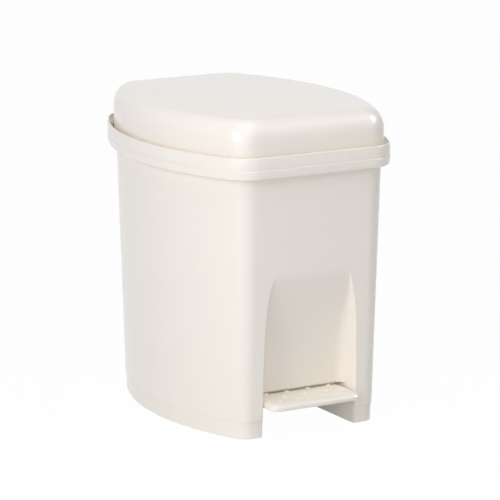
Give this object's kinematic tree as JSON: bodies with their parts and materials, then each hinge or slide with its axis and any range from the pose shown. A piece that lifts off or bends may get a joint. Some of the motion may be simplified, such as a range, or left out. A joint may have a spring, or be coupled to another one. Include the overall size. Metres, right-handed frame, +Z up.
{
  "type": "pedal nappy bin",
  "caption": "Ivory pedal bin for nappies: bow-sided casing with a foot recess, domed hinged lid, rim collar, lift-out bucket, and a pedal and push rod that open the lid.",
  "frame": {"origin": "on the floor, at the centre of the overall box", "axes": "+Z up, -Y towards the pedal and the user, +X to the right of someone facing the pedal's side"},
  "size_m": [0.238, 0.3006, 0.313],
  "materials": {
    "ivory_shell": "glossy moulded polypropylene, ivory",
    "bucket_plastic": "satin moulded polypropylene, off-white",
    "white_plastic": "natural acetal, slightly waxy",
    "steel": "bright zinc-plated wire"
  },
  "bodies": {
    "casing": {"casing": "ivory_shell", "rim_collar": "ivory_shell", "hinge_pins": "steel", "rod_guides": "white_plastic", "pedal_axle": "steel", "axle_caps": "steel"},
    "lid": {"lid": "ivory_shell", "crank_pin": "steel"},
    "push_rod": {"push_rod": "steel", "rod_head": "white_plastic", "rod_foot": "white_plastic"},
    "pedal": {"pedal": "ivory_shell", "tail_pin": "steel"},
    "bucket": {"inner_bucket": "bucket_plastic"},
    "handle": {"bucket_handle": "bucket_plastic"}
  },
  "joints": [
    {"name": "lid_hinge", "type": "hinge", "parent": "casing", "child": "lid", "pos_m": [0, 0.14475, 0.283], "axis": [-1, 0, 0], "range_deg": [0, 78]},
    {"name": "rod_lift", "type": "slide", "parent": "casing", "child": "push_rod", "axis": [0, 0, 1], "range_m": [0, 0.0277]},
    {"name": "pedal_press", "type": "hinge", "parent": "casing", "child": "pedal", "pos_m": [0, -0.03475, 0.022], "axis": [1, 0, 0], "range_deg": [0, 9.94]},
    {"name": "bucket_lift", "type": "slide", "parent": "casing", "child": "bucket", "axis": [0, 0, 1], "range_m": [0, 0.02]},
    {"name": "handle_swing", "type": "hinge", "parent": "bucket", "child": "handle", "pos_m": [0, -0.011, 0.2585], "axis": [-1, 0, 0], "range_deg": [0, 9]}
  ],
  "couplings": [
    {"joint": "rod_lift", "follows": "lid_hinge", "m_per_rad": 0.02034},
    {"joint": "pedal_press", "follows": "lid_hinge", "ratio": 0.12732}
  ]
}
